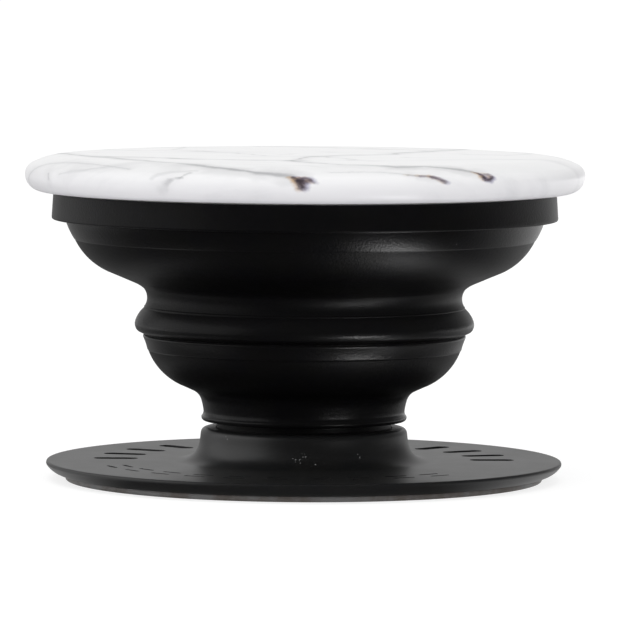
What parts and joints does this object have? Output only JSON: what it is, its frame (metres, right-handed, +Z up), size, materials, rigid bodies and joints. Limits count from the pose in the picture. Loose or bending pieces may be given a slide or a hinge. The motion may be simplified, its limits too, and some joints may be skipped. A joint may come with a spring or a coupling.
{
  "type": "collapsible phone grip",
  "caption": "Collapsible phone grip with a white marble-patterned round button on a black rubber accordion that folds flat and turns in a black stick-on base",
  "frame": {"origin": "Middle of the sticky face under the adhesive pad, on the axis of the grip", "axes": "+Z runs up the axis from the sticky face to the button; +Y points to the half of the plate with the sunk marks; the picture looks along +Y"},
  "size_m": [0.04, 0.04, 0.0232],
  "materials": {
    "gel_pad": "tacky grey gel",
    "base_plastic": "satin moulded black plastic",
    "accordion_rubber": "satin black soft moulding",
    "clear_glue": "clear set glue",
    "marble_button": "white plastic printed with a grey-veined marble pattern under a smooth clear coat"
  },
  "bodies": {
    "base": {"base_plate": "base_plastic", "adhesive_pad": "gel_pad"},
    "accordion": {"accordion": "accordion_rubber"},
    "button": {"top_disc": "marble_button", "bond_ring": "clear_glue"}
  },
  "joints": [
    {"name": "swivel", "type": "hinge", "parent": "base", "child": "accordion", "pos_m": [0, 0, 0.0025], "axis": [0, 0, 1], "continuous": true},
    {"name": "collapse", "type": "slide", "parent": "accordion", "child": "button", "axis": [0, 0, 1], "range_m": [-0.0165, 0], "deforming": ["accordion"]}
  ]
}
